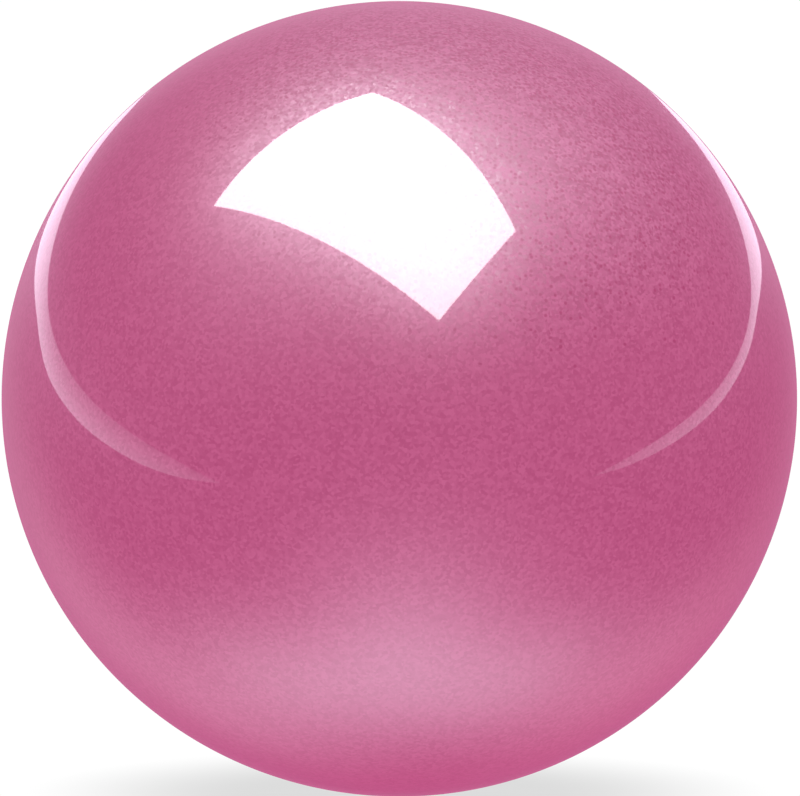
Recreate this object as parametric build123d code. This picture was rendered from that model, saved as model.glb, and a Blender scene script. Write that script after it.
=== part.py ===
"""Cue ball: a dense cast core inside two thin cast layers, the outer one polished.

Frame: origin at the centre of the ball, +Z up. A ball looks the same along every axis,
so X and Y are free. The ball rests on its lowest point. Millimetres.
"""

from build123d import *
import os

# Driving dimensions
BALL_DIAMETER = 57.15  # standard pool ball, 2 1/4 in
PEARL_SHELL_THICKNESS = 1.6  # clear resin with pearl flakes in it, ground and polished
COLOUR_LAYER_THICKNESS = 2.4  # opaque pink resin, which hides the core

# Radii where one layer meets the next
BALL_RADIUS = BALL_DIAMETER / 2
COLOUR_LAYER_RADIUS = BALL_RADIUS - PEARL_SHELL_THICKNESS
CORE_RADIUS = COLOUR_LAYER_RADIUS - COLOUR_LAYER_THICKNESS


def cast_layer(outer_radius, inner_radius):
    """A closed layer of even thickness, cast round the ball that fills it."""
    return Sphere(outer_radius) - Sphere(inner_radius)


def filled_core():
    """The first casting: mineral-filled resin, which gives the ball its weight."""
    return Sphere(CORE_RADIUS)


def colour_layer():
    """The second casting: an even ground of opaque pink."""
    return cast_layer(COLOUR_LAYER_RADIUS, CORE_RADIUS)


def pearl_shell():
    """The last casting: the shell that shows, rolls and meets the cue."""
    return cast_layer(BALL_RADIUS, COLOUR_LAYER_RADIUS)


def main():
    os.makedirs("parts", exist_ok=True)
    for make_piece in (filled_core, colour_layer, pearl_shell):
        export_step(make_piece(), f"parts/{make_piece.__name__}.step")


main()
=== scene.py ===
"""Looks of a pearl-pink cue ball: cast resin under a clear polish, in a plain white studio.

Metres, +Z up, the ball's centre at the origin. The camera looks along +Y, slightly downwards.
"""

import math

import bpy
from mathutils import Matrix, Vector


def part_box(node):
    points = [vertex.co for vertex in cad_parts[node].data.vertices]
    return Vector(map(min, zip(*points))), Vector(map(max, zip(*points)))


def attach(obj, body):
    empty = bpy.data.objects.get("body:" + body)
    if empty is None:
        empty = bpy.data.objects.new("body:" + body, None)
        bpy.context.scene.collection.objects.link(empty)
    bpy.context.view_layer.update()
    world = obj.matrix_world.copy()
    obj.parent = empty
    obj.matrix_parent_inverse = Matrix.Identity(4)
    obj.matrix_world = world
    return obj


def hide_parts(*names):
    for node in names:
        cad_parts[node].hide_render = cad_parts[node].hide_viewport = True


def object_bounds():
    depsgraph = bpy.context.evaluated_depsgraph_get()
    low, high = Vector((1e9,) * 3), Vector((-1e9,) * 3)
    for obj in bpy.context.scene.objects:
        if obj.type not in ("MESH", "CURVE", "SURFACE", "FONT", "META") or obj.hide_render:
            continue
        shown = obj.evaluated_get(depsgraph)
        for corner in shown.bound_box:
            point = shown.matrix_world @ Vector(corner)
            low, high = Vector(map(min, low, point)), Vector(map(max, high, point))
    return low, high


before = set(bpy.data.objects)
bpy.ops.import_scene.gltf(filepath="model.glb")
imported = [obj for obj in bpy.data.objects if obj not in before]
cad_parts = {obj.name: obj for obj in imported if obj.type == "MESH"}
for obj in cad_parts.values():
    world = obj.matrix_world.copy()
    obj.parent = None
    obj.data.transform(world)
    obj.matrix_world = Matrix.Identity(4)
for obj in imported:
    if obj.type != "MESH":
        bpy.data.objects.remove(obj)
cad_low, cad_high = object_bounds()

# The ball, from the frame
BALL_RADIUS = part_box("pearl_shell")[1].z
COLOUR_LAYER_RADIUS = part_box("colour_layer")[1].z
FLOOR_Z = cad_low.z

# Camera: a long lens, a little above the ball
CAMERA_ELEVATION = math.radians(5)
CAMERA_DISTANCE = 0.8
BALL_SHARE_OF_FRAME = 0.9945  # the ball's outline as a share of the frame's width
BALL_LEFT_OF_MIDDLE = 0.0008
BALL_BELOW_MIDDLE = 0.001
SENSOR_WIDTH_MM = 36

# Axes of the picture. Directions in the studio are given as (right, up, towards the camera)
RIGHT = Vector((1, 0, 0))
UP = Vector((0, math.sin(CAMERA_ELEVATION), math.cos(CAMERA_ELEVATION)))
NEAR = Vector((0, -math.cos(CAMERA_ELEVATION), math.sin(CAMERA_ELEVATION)))


def in_picture_axes(v):
    """The direction v, given as right, up and near, in the frame's own axes."""
    return v[0] * RIGHT + v[1] * UP + v[2] * NEAR


# Pearl resin. The direction below points to the side of the ball that faces the softbox, and the edge is the
# cosine of the angle at which that side ends;
# there a lighter lilac glow, stronger sparkle, haze and dark specks are painted into the colour. Pairs are
# (elsewhere, on the softbox side).
DARKEST_FLAKE = (0.37, 0.015, 0.12)
LIGHTEST_FLAKE = (0.68, 0.125, 0.31)
# Painted highlight glow: a lighter, lilac flake colour used on the softbox side
PAINTED_GLOW_FLAKE = (0.665, 0.165, 0.35)
SPECK_PINK = (0.41, 0.02, 0.13)
SHEEN_PINK = (1.0, 0.05, 0.4)
FLAKE_SIZE = 0.00022
SPECK_SPACING = 0.00035
CLOUD_SIZE = 0.002
PAINTED_GLOW_SIDE = in_picture_axes((0.25, 0.78, 0.58)).normalized()
PAINTED_GLOW_EDGE = 0.65
# Shade contrast, patchiness and speck share grow on the softbox side as painted sparkle and haze; gloss
# spread and tilt grow there too
SHADE_CONTRAST = (0.3, 0.65)
PATCHINESS = (0.05, 0.4)
GLOSS_SPREAD = (0.04, 0.22)
FLAKE_TILT = (0.02, 0.14)
SPECK_SHARE = (0.0, 0.6)
SPECK_STRENGTH = 0.8
PEARL_ROUGHNESS = 0.4

# Plain pink resin under the pearl
DEEP_PINK = (0.42, 0.03, 0.14)
PALE_PINK = (0.56, 0.08, 0.22)
SWIRL_SIZE = 0.006
STIR_SIZE = 0.016
STIR_DISTANCE = 0.01
TOOTH_SIZE = 0.0003
TOOTH_HEIGHT = 0.00005

# Filled resin of the core
DARK_RESIN = (0.56, 0.53, 0.47)
LIGHT_RESIN = (0.68, 0.65, 0.58)
DARK_GRAIN = (0.46, 0.43, 0.38)
LIGHT_GRAIN = (0.72, 0.7, 0.64)
RUSTY_GRAIN = (0.3, 0.17, 0.09)
RUSTY_SHARE = 0.06
GRAIN_SIZE = 0.0005
RESIN_CLOUD_SIZE = 0.008
PINHOLE_BROWN = (0.2, 0.18, 0.15)
PINHOLE_SHARE = 0.15
PINHOLE_SPACING = 0.0015
PINHOLE_DEPTH = 0.0002

# Softbox overhead
SOFTBOX_RADIANCE = 14.8
SOFTBOX_CENTRE = in_picture_axes((0.06, 0.93, 0.47))
SOFTBOX_LONG_SIDE = in_picture_axes((0.92, -0.23, 1.02))
SOFTBOX_SHORT_SIDE = in_picture_axes((0.56, 0.68, -0.35))

# Two strip lights bent round the ball, as parts of one ring whose axis leans towards the camera
RING_RADIUS = 1.0
RING_LEAN = math.radians(21.7)
RING_AXIS = math.cos(RING_LEAN) * UP + math.sin(RING_LEAN) * NEAR
RING_FRONT = math.cos(RING_LEAN) * NEAR - math.sin(RING_LEAN) * UP
STRIP_STEPS = 96
STRIP_STEPS_ACROSS = 8
# Edges: (degrees round the ring from behind the ball, degrees above the ring)
HIGH_EDGE = ((7, -13), (14, -7), (30, -3.2), (50, -2.6), (90, -3.7), (112, -5.3), (130, -8))
LEFT_LOW_EDGE = ((7, -15), (14, -13), (42, -6.8), (62, -8.2), (85, -9.4), (112, -9.8), (130, -8))
RIGHT_LOW_EDGE = ((7, -15), (14, -13), (43, -5.3), (60, -5.1), (82, -6.3), (112, -7.4), (125, -7.2))
# Brightness along the edges: (degrees round the ring, radiance)
LEFT_LOW_GLOW = ((7, 2.2), (45, 2.6), (80, 2.5), (107, 2.0), (130, 0.8))
LEFT_HIGH_GLOW = ((7, 1.8), (38, 1.8), (70, 0.9), (105, 0.8), (130, 0.5))
RIGHT_LOW_GLOW = ((7, 2.0), (43, 2.5), (98, 2.1), (125, 0.9))
RIGHT_HIGH_GLOW = ((7, 2.0), (38, 1.8), (74, 1.5), (104, 1.5), (125, 0.8))
STRIP_TINT = (1.0, 1.02, 1.15)

# What the gloss sees round the ball: soft patches of light, by direction, spread in degrees and radiance
ROOM_RADIUS = 2.5
SOFT_PATCHES = (
    # the table in front of the ball
    ((0.0, -0.98, 0.14), 17, (1.7, 2.35, 2.4)),
    ((-0.42, -0.9, -0.1), 13, (1.1, 1.3, 1.35)),
    ((0.42, -0.9, -0.1), 13, (1.0, 1.2, 1.25)),
    ((0.06, -0.84, 0.52), 20, (0.95, 1.15, 1.2)),
    # the table beside the ball and behind it
    ((-0.45, -0.74, -0.5), 13, (0.6, 0.6, 0.65)),
    ((0.54, -0.68, -0.5), 13, (0.6, 0.5, 0.55)),
    ((-0.58, -0.3, -0.76), 15, (0.35, 0.3, 0.33)),
    ((0.5, -0.35, -0.79), 15, (0.3, 0.2, 0.22)),
    ((-0.7, -0.46, -0.55), 14, (0.2, 0.15, 0.18)),
    # the ball's own pink, thrown back by the table
    ((0.0, -0.7, -0.7), 25, (0.15, 0.0, 0.02)),
    # the ceiling round the softbox
    ((0.1, 1.0, 0.1), 33, (1.05, 1.0, 1.08)),
    ((0.5, 0.85, 0.1), 16, (0.9, 0.8, 0.9)),
    # the wall on the camera's side
    ((-0.6, 0.57, 0.55), 18, (0.5, 0.53, 0.58)),
    # the backdrop
    ((0.05, 0.3, -0.94), 20, (0.3, 0.3, 0.32)),
    ((-0.35, 0.1, -0.93), 15, (0.1, 0.1, 0.1)),
)

# Floor: a glowing disc, with a painted shadow under the ball
FLOOR_RADIUS = 3.0
FLOOR_RINGS = (0.5, 1.0, 1.5, 2.0, 3.0, 5.0, 10.0, 30.0, FLOOR_RADIUS / BALL_RADIUS)  # in ball radii
FLOOR_STEPS = 96
SHADE_START = 0.35  # from the ball's foot, in ball radii
SHADE_END = 1.05
SHADED_FLOOR = 0.72
LIT_FLOOR = 1.02

# Even light all round
STUDIO_LIGHT = 1.03


# Meshes


def new_object(name, vertices, faces):
    mesh = bpy.data.meshes.new(name)
    mesh.from_pydata(vertices, [], faces)
    thing = bpy.data.objects.new(name, mesh)
    bpy.context.scene.collection.objects.link(thing)
    return thing


def cube_sphere(divisions, inward=False):
    """Directions and quads of a sphere made from a cube, with quads of nearly even size."""
    directions = []
    quads = []
    index = {}
    for axis in range(3):
        u_axis = (axis + 1) % 3
        v_axis = (axis + 2) % 3
        for side in (-1.0, 1.0):
            grid = {}
            for i in range(divisions + 1):
                for j in range(divisions + 1):
                    point = Vector((0, 0, 0))
                    point[axis] = side
                    point[u_axis] = math.tan((i / divisions - 0.5) * math.pi / 2)
                    point[v_axis] = math.tan((j / divisions - 0.5) * math.pi / 2)
                    point.normalize()
                    # Neighbouring sides of the cube share the points along their edges
                    key = tuple(round(c * 1e6) for c in point)
                    if key not in index:
                        index[key] = len(directions)
                        directions.append(point)
                    grid[i, j] = index[key]
            for i in range(divisions):
                for j in range(divisions):
                    quad = [grid[i, j], grid[i + 1, j], grid[i + 1, j + 1], grid[i, j + 1]]
                    if (side < 0) != inward:
                        quad.reverse()
                    quads.append(quad)
    return directions, quads


def hollow_ball(name, outer_radius, inner_radius, divisions):
    """A closed layer of even thickness: a fine outer sphere round a coarser one that faces inwards."""
    outer, quads = cube_sphere(divisions)
    inner, inner_quads = cube_sphere(divisions // 2, inward=True)
    vertices = [d * outer_radius for d in outer] + [d * inner_radius for d in inner]
    quads += [[len(outer) + corner for corner in quad] for quad in inner_quads]
    ball = new_object(name, vertices, quads)
    ball.data.shade_smooth()
    ball.data.normals_split_custom_set_from_vertices(outer + [-d for d in inner])
    return ball


# Materials


class Nodes:
    """A new material's node tree, with short calls to add and join nodes."""

    def __init__(self, name):
        self.material = bpy.data.materials.new(name)
        self.material.use_nodes = True
        self.tree = self.material.node_tree
        self.tree.nodes.clear()

    def put(self, socket, value):
        if isinstance(value, bpy.types.NodeSocket):
            self.tree.links.new(value, socket)
        else:
            socket.default_value = value

    def add(self, kind, settings=None, **inputs):
        node = self.tree.nodes.new(kind)
        for key, value in (settings or {}).items():
            setattr(node, key, value)
        for key, value in inputs.items():
            self.put(node.inputs[key.replace("_", " ")], value)
        return node

    def place(self):
        return self.add("ShaderNodeTexCoord").outputs["Object"]

    def math(self, operation, a, b=0.0, c=0.0):
        node = self.add("ShaderNodeMath", {"operation": operation})
        for socket, value in zip(node.inputs, (a, b, c)):
            self.put(socket, value)
        return node.outputs[0]

    def vector_math(self, operation, a, b=None, scale=None):
        node = self.add("ShaderNodeVectorMath", {"operation": operation})
        self.put(node.inputs[0], a)
        if b is not None:
            self.put(node.inputs[1], b)
        if scale is not None:
            self.put(node.inputs["Scale"], scale)
        gives_number = operation in ("DOT_PRODUCT", "LENGTH")
        return node.outputs["Value" if gives_number else "Vector"]

    def ranged(self, value, low, high, new_low, new_high, smooth=False):
        node = self.add("ShaderNodeMapRange", {"interpolation_type": "SMOOTHSTEP" if smooth else "LINEAR"})
        for socket, number in zip(node.inputs, (value, low, high, new_low, new_high)):
            self.put(socket, number)
        return node.outputs[0]

    def mixed(self, factor, a, b):
        """Colour a, turning into colour b as the factor goes from 0 to 1."""
        node = self.add("ShaderNodeMix", {"data_type": "RGBA"})
        for key, value in (("Factor_Float", factor), ("A_Color", a), ("B_Color", b)):
            socket = next(s for s in node.inputs if s.identifier == key)
            self.put(socket, (*value, 1.0) if isinstance(value, tuple) else value)
        return node.outputs["Result"]

    def cells(self, place, size):
        """Random cells of about that size: two numbers and a colour for each, and the way to its middle."""
        node = self.add("ShaderNodeTexVoronoi", Vector=place, Scale=1 / size)
        parts = self.add("ShaderNodeSeparateColor", Color=node.outputs["Color"])
        return parts.outputs[0], parts.outputs[1], node.outputs["Color"], node.outputs["Distance"]

    def clouds(self, place, size, detail):
        """Soft noise round 0, between about -0.3 and 0.3."""
        noise = self.add("ShaderNodeTexNoise", Vector=place, Scale=1 / size, Detail=detail)
        return self.math("SUBTRACT", noise.outputs[0], 0.5)

    def finish(self, surface):
        output = self.add("ShaderNodeOutputMaterial")
        self.put(output.inputs["Surface"], surface.outputs[0])
        return self.material


def pearl_resin():
    """Clear-coated pink resin full of fine pearl flakes, with a highlight glow, sparkle, haze and dark
    specks painted into the colour on the side facing the softbox.
    """
    n = Nodes("cast_pearl")
    place = n.place()
    # How far round the ball is towards the softbox, where the glow, sparkle and haze are painted
    nearness = n.vector_math("DOT_PRODUCT", n.vector_math("NORMALIZE", place), tuple(PAINTED_GLOW_SIDE))
    painted_glow_side = n.ranged(nearness, PAINTED_GLOW_EDGE, 1.0, 0.0, 1.0, smooth=True)
    # Each flake has its own shade and its own gloss
    number, other_number, random_colour, _ = n.cells(place, FLAKE_SIZE)
    # Random flake tones, with more contrast and cloudy patches on the softbox side as painted sparkle and
    # haze
    contrast = n.ranged(painted_glow_side, 0.0, 1.0, *SHADE_CONTRAST)
    shade = n.math("MULTIPLY_ADD", n.math("SUBTRACT", number, 0.5), contrast, 0.5)
    patchiness = n.ranged(painted_glow_side, 0.0, 1.0, *PATCHINESS)
    shade = n.math("MULTIPLY_ADD", n.clouds(place, CLOUD_SIZE, 2.0), patchiness, shade)
    # Lighter and more lilac on the softbox side: painted highlight glow
    pink = n.mixed(shade, DARKEST_FLAKE, n.mixed(painted_glow_side, LIGHTEST_FLAKE, PAINTED_GLOW_FLAKE))
    gloss_spread = n.ranged(painted_glow_side, 0.0, 1.0, *GLOSS_SPREAD)
    roughness = n.math("MULTIPLY_ADD", n.math("SUBTRACT", other_number, 0.5), gloss_spread, PEARL_ROUGHNESS)
    # Dark specks between the flakes, set only on the softbox side as part of the painted sparkle there
    speck_number, _, _, from_middle = n.cells(place, SPECK_SPACING)
    chosen = n.math("LESS_THAN", speck_number, n.ranged(painted_glow_side, 0.0, 1.0, *SPECK_SHARE))
    inside = n.ranged(from_middle, 0.25, 0.5, SPECK_STRENGTH, 0.0, smooth=True)
    colour = n.mixed(n.math("MULTIPLY", chosen, inside), pink, SPECK_PINK)
    # The flakes lie at slightly different angles
    tilt = n.vector_math("SUBTRACT", random_colour, (0.5, 0.5, 0.5))
    tilt = n.vector_math("SCALE", tilt, scale=n.ranged(painted_glow_side, 0.0, 1.0, *FLAKE_TILT))
    normal = n.add("ShaderNodeNewGeometry").outputs["Normal"]
    shader = n.add(
        "ShaderNodeBsdfPrincipled",
        Base_Color=colour,
        Roughness=roughness,
        Normal=n.vector_math("NORMALIZE", n.vector_math("ADD", normal, tilt)),
        IOR=1.5,
        Specular_IOR_Level=0.45,
        Specular_Tint=(0.82, 0.96, 1.0, 1.0),
        Coat_Weight=1.0,
        Coat_Roughness=0.03,
        Coat_IOR=1.5,
        Sheen_Weight=0.6,
        Sheen_Roughness=0.42,
        Sheen_Tint=(*SHEEN_PINK, 1.0),
    )
    return n.finish(shader)


def plain_pink_resin():
    """The layer under the pearl: opaque pink with swirls of pigment and a fine tooth."""
    n = Nodes("cast_pink")
    place = n.place()
    stir = n.add("ShaderNodeTexNoise", Vector=place, Scale=1 / STIR_SIZE)
    stirred = n.vector_math("ADD", place, n.vector_math("SCALE", stir.outputs["Color"], scale=STIR_DISTANCE))
    swirl = n.clouds(stirred, SWIRL_SIZE, 4.0)
    colour = n.mixed(n.ranged(swirl, -0.2, 0.2, 0.0, 1.0), DEEP_PINK, PALE_PINK)
    tooth = n.clouds(place, TOOTH_SIZE, 3.0)
    bump = n.add("ShaderNodeBump", Height=tooth, Strength=0.3, Distance=TOOTH_HEIGHT)
    shader = n.add(
        "ShaderNodeBsdfPrincipled",
        Base_Color=colour,
        Roughness=n.ranged(tooth, -0.2, 0.2, 0.5, 0.7),
        Normal=bump.outputs["Normal"],
        IOR=1.5,
    )
    return n.finish(shader)


def filled_resin():
    """The core: off-white resin packed with mineral grains, a few of them rusty, with pinholes."""
    n = Nodes("cast_filled")
    place = n.place()
    number, other_number, _, from_middle = n.cells(place, GRAIN_SIZE)
    grain = n.mixed(number, DARK_GRAIN, LIGHT_GRAIN)
    rusty = n.math("LESS_THAN", other_number, RUSTY_SHARE)
    grain = n.mixed(rusty, grain, RUSTY_GRAIN)
    resin_shade = n.math("ADD", n.clouds(place, RESIN_CLOUD_SIZE, 3.0), 0.5)
    resin = n.mixed(resin_shade, DARK_RESIN, LIGHT_RESIN)
    colour = n.mixed(n.ranged(from_middle, 0.25, 0.5, 1.0, 0.0, smooth=True), resin, grain)
    hole_number, _, _, from_hole = n.cells(place, PINHOLE_SPACING)
    chosen = n.math("LESS_THAN", hole_number, PINHOLE_SHARE)
    hole = n.math("MULTIPLY", chosen, n.ranged(from_hole, 0.1, 0.2, 1.0, 0.0))
    depth = n.math("MULTIPLY", hole, -1.0)
    bump = n.add("ShaderNodeBump", Height=depth, Strength=0.6, Distance=PINHOLE_DEPTH)
    shader = n.add(
        "ShaderNodeBsdfPrincipled",
        Base_Color=n.mixed(hole, colour, PINHOLE_BROWN),
        Roughness=n.ranged(number, 0.0, 1.0, 0.55, 0.8),
        Normal=bump.outputs["Normal"],
        IOR=1.5,
    )
    return n.finish(shader)


# Studio


def only_seen_by(thing, *rays):
    for ray in ("camera", "diffuse", "glossy", "transmission", "volume_scatter", "shadow"):
        setattr(thing, "visible_" + ray, ray in rays)


def make_camera():
    optics = bpy.data.cameras.new("camera")
    camera = bpy.data.objects.new("camera", optics)
    bpy.context.scene.collection.objects.link(camera)
    half_ball = math.tan(math.asin(BALL_RADIUS / CAMERA_DISTANCE))
    optics.sensor_width = SENSOR_WIDTH_MM
    optics.lens = SENSOR_WIDTH_MM / 2 * BALL_SHARE_OF_FRAME / half_ball
    optics.shift_x = BALL_LEFT_OF_MIDDLE
    optics.shift_y = BALL_BELOW_MIDDLE
    camera.location = NEAR * CAMERA_DISTANCE
    camera.rotation_euler = (math.pi / 2 - CAMERA_ELEVATION, 0, 0)
    bpy.context.scene.camera = camera


def make_softbox():
    light = bpy.data.lights.new("softbox", "AREA")
    light.shape = "RECTANGLE"
    light.size = SOFTBOX_LONG_SIDE.length
    light.size_y = SOFTBOX_SHORT_SIDE.length
    light.energy = SOFTBOX_RADIANCE * math.pi * light.size * light.size_y
    box = bpy.data.objects.new("softbox", light)
    bpy.context.scene.collection.objects.link(box)
    x = SOFTBOX_LONG_SIDE.normalized()
    z = x.cross(SOFTBOX_SHORT_SIDE).normalized()
    if z.dot(SOFTBOX_CENTRE) < 0:  # the light shines along -z
        z.negate()
    turn = Matrix((x, z.cross(x), z)).transposed()
    box.matrix_world = Matrix.Translation(SOFTBOX_CENTRE) @ turn.to_4x4()
    only_seen_by(box, "glossy", "shadow")


def smooth_curve(points, x):
    """The value at x of a smooth curve through the points (x, value)."""
    last = len(points) - 1
    i = max(k for k in range(last) if k == 0 or points[k][0] <= x)
    slopes = []
    for k in (i, i + 1):
        before = points[max(k - 1, 0)]
        after = points[min(k + 1, last)]
        slopes.append((after[1] - before[1]) / (after[0] - before[0]))
    start = points[i]
    end = points[i + 1]
    span = end[0] - start[0]
    t = (x - start[0]) / span
    rise = t * t * (3 - 2 * t)
    bend = span * t * (1 - t) * (slopes[0] * (1 - t) - slopes[1] * t)
    return start[1] + (end[1] - start[1]) * rise + bend


def make_strip(name, side, low_edge, high_edge, low_glow, high_glow):
    """A strip light on the left (-1) or right (1) of the ring, with its own brightness along each edge."""
    first = low_edge[0][0]
    last = low_edge[-1][0]
    vertices = []
    glow = []
    for i in range(STRIP_STEPS + 1):
        angle = first + (last - first) * i / STRIP_STEPS
        a = math.radians(angle)
        level = side * math.sin(a) * RIGHT - math.cos(a) * RING_FRONT
        low = smooth_curve(low_edge, angle)
        high = smooth_curve(high_edge, angle)
        low_level = smooth_curve(low_glow, angle)
        high_level = smooth_curve(high_glow, angle)
        for j in range(STRIP_STEPS_ACROSS + 1):
            t = j / STRIP_STEPS_ACROSS
            rise = math.radians(low + (high - low) * t)
            vertices.append(RING_RADIUS * (math.cos(rise) * level + math.sin(rise) * RING_AXIS))
            glow.append(low_level + (high_level - low_level) * t)
    quads = []
    row = STRIP_STEPS_ACROSS + 1
    for i in range(STRIP_STEPS):
        for j in range(STRIP_STEPS_ACROSS):
            corner = i * row + j
            quads.append([corner, corner + 1, corner + row + 1, corner + row])
    strip = new_object(name, vertices, quads)
    strip.data.attributes.new("glow", "FLOAT", "POINT").data.foreach_set("value", glow)
    n = Nodes(name)
    attribute = n.add("ShaderNodeAttribute", {"attribute_name": "glow"})
    light = n.add("ShaderNodeEmission", Strength=attribute.outputs["Fac"], Color=(*STRIP_TINT, 1.0))
    strip.data.materials.append(n.finish(light))
    only_seen_by(strip, "glossy")


def make_room():
    """The walls that only the gloss sees: a dark room with soft patches of light."""
    directions, quads = cube_sphere(24, inward=True)
    room = new_object("room", [d * ROOM_RADIUS for d in directions], quads)
    n = Nodes("room")
    direction = n.vector_math("NORMALIZE", n.place())
    total = (0.0, 0.0, 0.0)
    for centre, spread, radiance in SOFT_PATCHES:
        middle = in_picture_axes(centre).normalized()
        sharpness = 1 / math.radians(spread) ** 2
        nearness = n.vector_math("DOT_PRODUCT", direction, tuple(middle))
        fall = n.math("EXPONENT", n.math("MULTIPLY_ADD", nearness, sharpness, -sharpness))
        total = n.vector_math("ADD", n.vector_math("SCALE", radiance, scale=fall), total)
    room.data.materials.append(n.finish(n.add("ShaderNodeEmission", Color=total)))
    n.material.cycles.emission_sampling = "NONE"
    only_seen_by(room, "glossy")


def make_floor():
    """A white floor that only the camera sees, glowing, with a soft painted shadow under the ball."""
    vertices = [Vector((0, 0, FLOOR_Z))]
    for ring in FLOOR_RINGS:
        for s in range(FLOOR_STEPS):
            a = 2 * math.pi * s / FLOOR_STEPS
            vertices.append(Vector((math.cos(a), math.sin(a), 0)) * ring * BALL_RADIUS + vertices[0])
    faces = [[0, 1 + s, 1 + (s + 1) % FLOOR_STEPS] for s in range(FLOOR_STEPS)]
    for ring in range(len(FLOOR_RINGS) - 1):
        first = 1 + ring * FLOOR_STEPS
        for s in range(FLOOR_STEPS):
            a = first + s
            b = first + (s + 1) % FLOOR_STEPS
            faces.append([a, a + FLOOR_STEPS, b + FLOOR_STEPS, b])
    floor = new_object("floor", vertices, faces)
    n = Nodes("floor")
    from_foot = n.vector_math("LENGTH", n.vector_math("MULTIPLY", n.place(), (1, 1, 0)))
    start = SHADE_START * BALL_RADIUS
    end = SHADE_END * BALL_RADIUS
    # Painted shadow: the floor's own glow is dimmer near the ball's foot
    shade = n.ranged(from_foot, start, end, SHADED_FLOOR, LIT_FLOOR, smooth=True)
    floor.data.materials.append(n.finish(n.add("ShaderNodeEmission", Strength=shade)))
    n.material.cycles.emission_sampling = "NONE"
    only_seen_by(floor, "camera")


def make_world():
    """Even white light all round, which the camera sees and the gloss doesn't."""
    world = bpy.data.worlds.new("studio")
    world.use_nodes = True
    background = world.node_tree.nodes["Background"]
    background.inputs["Color"].default_value = (1, 1, 1, 1)
    background.inputs["Strength"].default_value = STUDIO_LIGHT
    world.cycles_visibility.glossy = False
    bpy.context.scene.world = world


make_camera()
bpy.context.scene.view_settings.view_transform = "Standard"

pearl = hollow_ball("polished_pearl", BALL_RADIUS, COLOUR_LAYER_RADIUS, divisions=96)
pearl.data.materials.append(pearl_resin())
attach(pearl, "root")
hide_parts("pearl_shell")
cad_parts["colour_layer"].material_slots[0].material = plain_pink_resin()
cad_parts["filled_core"].material_slots[0].material = filled_resin()

make_softbox()
make_strip("strip_left", -1, LEFT_LOW_EDGE, HIGH_EDGE, LEFT_LOW_GLOW, LEFT_HIGH_GLOW)
make_strip("strip_right", 1, RIGHT_LOW_EDGE, HIGH_EDGE, RIGHT_LOW_GLOW, RIGHT_HIGH_GLOW)
make_room()
make_floor()
make_world()
